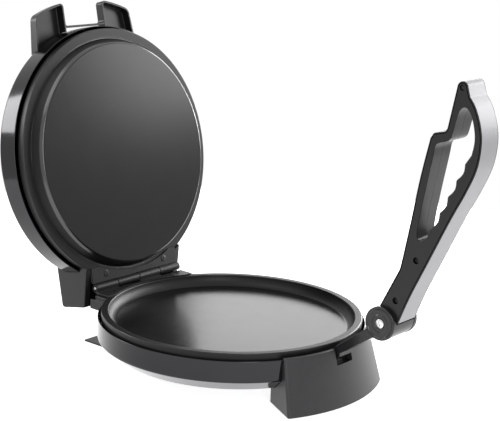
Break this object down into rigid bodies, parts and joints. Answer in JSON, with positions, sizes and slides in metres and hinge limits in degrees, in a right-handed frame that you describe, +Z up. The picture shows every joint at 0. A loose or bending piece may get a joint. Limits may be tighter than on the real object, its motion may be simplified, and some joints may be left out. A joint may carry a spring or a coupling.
{
  "type": "electric pancake maker",
  "caption": "Round electric pancake maker with two hot plates, a lid on a knuckle hinge and a looped press lever that swings over the closed lid.",
  "frame": {"origin": "centre of the lower plate's flat cooking face", "axes": "+Z up out of the cooking face, +Y towards the lid's hinge, +X to the right seen from the lever's side"},
  "size_m": [0.2836, 0.5385, 0.3653],
  "materials": {
    "nonstick_coating": "satin non-stick coat on cast aluminium",
    "dark_sheet_metal": "dark gloss finish on pressed sheet",
    "gloss_black_plastic": "gloss",
    "satin_black_plastic": "satin",
    "satin_aluminium": "fine brushed satin",
    "bright_steel": "bright",
    "black_steel": "black satin",
    "galvanised_steel": "dull zinc",
    "rubber": "matte",
    "ceramic": "unglazed"
  },
  "bodies": {
    "base": {"lower_plate": "nonstick_coating", "base_casing": "dark_sheet_metal", "bottom_cover": "galvanised_steel", "front_foot": "gloss_black_plastic", "rear_foot": "black_steel", "hinge_support": "satin_black_plastic", "cord_gland": "rubber", "foot_pad_1": "rubber", "foot_pad_2": "rubber", "lower_post_1": "bright_steel", "lower_post_2": "bright_steel", "lower_post_3": "bright_steel", "lower_heat_shield": "galvanised_steel", "lower_element": "bright_steel", "thermostat": "ceramic", "thermal_fuse": "ceramic", "terminal_block": "ceramic", "hinge_leaf_base": "black_steel", "hinge_screw_base_1": "black_steel", "hinge_screw_base_2": "black_steel", "hinge_pin": "bright_steel", "pivot_arm": "gloss_black_plastic", "pivot_shaft": "bright_steel", "pivot_cap_left": "gloss_black_plastic", "pivot_cap_right": "gloss_black_plastic", "cap_screw_left": "bright_steel", "cap_screw_right": "bright_steel", "post_screw_1": "bright_steel", "post_screw_2": "bright_steel", "post_screw_3": "bright_steel", "cover_screw_1": "bright_steel", "cover_screw_2": "bright_steel", "cover_screw_3": "bright_steel", "rear_foot_screw_1": "bright_steel", "rear_foot_screw_2": "bright_steel"},
    "lid": {"upper_plate": "nonstick_coating", "lid_casing": "dark_sheet_metal", "lid_hinge_housing": "satin_black_plastic", "guide_fork": "satin_black_plastic", "upper_post_1": "bright_steel", "upper_post_2": "bright_steel", "upper_post_3": "bright_steel", "upper_heat_shield": "galvanised_steel", "upper_element": "bright_steel", "upper_thermostat": "ceramic", "hinge_leaf_lid": "black_steel", "hinge_screw_lid_1": "black_steel", "hinge_screw_lid_2": "black_steel"},
    "lever": {"lever_half_left": "satin_black_plastic", "lever_half_right": "satin_black_plastic", "lever_cover": "satin_aluminium", "lever_tip_pin": "black_steel", "lever_screw_1": "black_steel", "lever_screw_2": "black_steel"}
  },
  "joints": [
    {"name": "lid_hinge", "type": "hinge", "parent": "base", "child": "lid", "pos_m": [0, 0.1407, 0.0173], "axis": [1, 0, 0], "range_deg": [0, 101.7]},
    {"name": "lever_pivot", "type": "hinge", "parent": "base", "child": "lever", "pos_m": [0, -0.2013, 0.049], "axis": [-1, 0, 0], "range_deg": [0, 95.4]}
  ]
}
